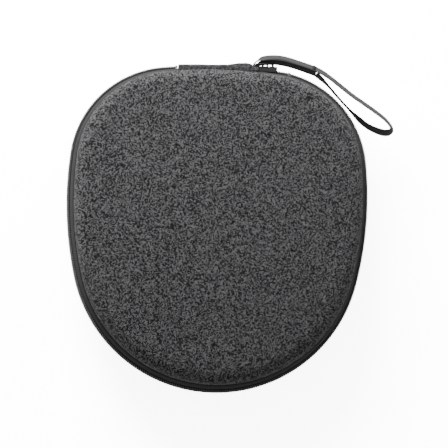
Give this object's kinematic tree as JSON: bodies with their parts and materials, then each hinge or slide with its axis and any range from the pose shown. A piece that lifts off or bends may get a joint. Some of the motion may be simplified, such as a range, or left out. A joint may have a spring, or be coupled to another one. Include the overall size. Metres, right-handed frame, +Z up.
{
  "type": "headphone carrying case",
  "caption": "Hard-shell zipped carrying case for folded headphones, with a woven fabric skin, an all-round coil zip, a woven hinge and a ribbon pull loop.",
  "frame": {"origin": "centre of the flat underside, midway between the backmost and foremost points of the closed zip", "axes": "+Z up through the lid, +Y towards the hinge at the back, +X to the right"},
  "size_m": [0.209, 0.2179, 0.056],
  "materials": {
    "outer_fabric": "dark grey melange canvas, matt",
    "foam": "closed-cell EVA foam, matt",
    "lining": "black brushed tricot",
    "bead": "woven piping, matt",
    "zip_tape": "black woven polyester tape",
    "zip_coil": "black nylon coil",
    "binding": "black grosgrain binding",
    "hinge_webbing": "black woven strip",
    "elastic": "black knitted elastic",
    "mesh": "black open polyester net",
    "slider_paint": "black lacquered die-cast zinc",
    "ring_wire": "black lacquered steel wire",
    "ribbon": "grey-black ribbed grosgrain ribbon",
    "thread": "black polyester thread"
  },
  "bodies": {
    "base": {"base_outer_fabric": "outer_fabric", "base_shell_core": "foam", "base_lining": "lining", "base_bead": "bead", "base_zip_tape": "zip_tape", "base_zip_coil": "zip_coil", "base_zip_stops": "zip_coil", "base_binding": "binding", "hinge_spine": "hinge_webbing", "hinge_gusset": "lining", "headset_rest": "foam", "rest_cover": "lining"},
    "lid": {"lid_outer_fabric": "outer_fabric", "lid_shell_core": "foam", "lid_lining": "lining", "lid_bead": "bead", "lid_zip_tape": "zip_tape", "lid_zip_coil": "zip_coil", "lid_zip_stops": "zip_coil", "lid_binding": "binding", "pocket_net": "mesh", "pocket_hem": "elastic", "pocket_piping": "binding"},
    "slider": {"slider_body": "slider_paint", "slider_bail": "slider_paint"},
    "ring": {"pull_ring": "ring_wire"},
    "ribbon": {"ribbon_loop": "ribbon", "ribbon_tacks": "thread"}
  },
  "joints": [
    {"name": "lid_hinge", "type": "hinge", "parent": "base", "child": "lid", "pos_m": [0, 0.1083, 0.028], "axis": [-1, 0, 0], "range_deg": [0, 180], "deforming": ["hinge_spine", "hinge_gusset"]},
    {"name": "slider_travel", "type": "hinge", "parent": "base", "child": "slider", "pos_m": [0.0301, 0.03767, 0.028], "axis": [0, 0, -1], "range_deg": [0, 30]},
    {"name": "ring_swing", "type": "hinge", "parent": "slider", "child": "ring", "pos_m": [0.0298, 0.10627, 0.028], "axis": [0, 0, -1], "range_deg": [0, 170]},
    {"name": "ribbon_swing", "type": "hinge", "parent": "ring", "child": "ribbon", "pos_m": [0.0222, 0.10627, 0.028], "axis": [0, 0, 1], "range_deg": [0, 170]}
  ],
  "couplings": [
    {"joint": "ribbon_swing", "follows": "ring_swing", "ratio": 1}
  ]
}
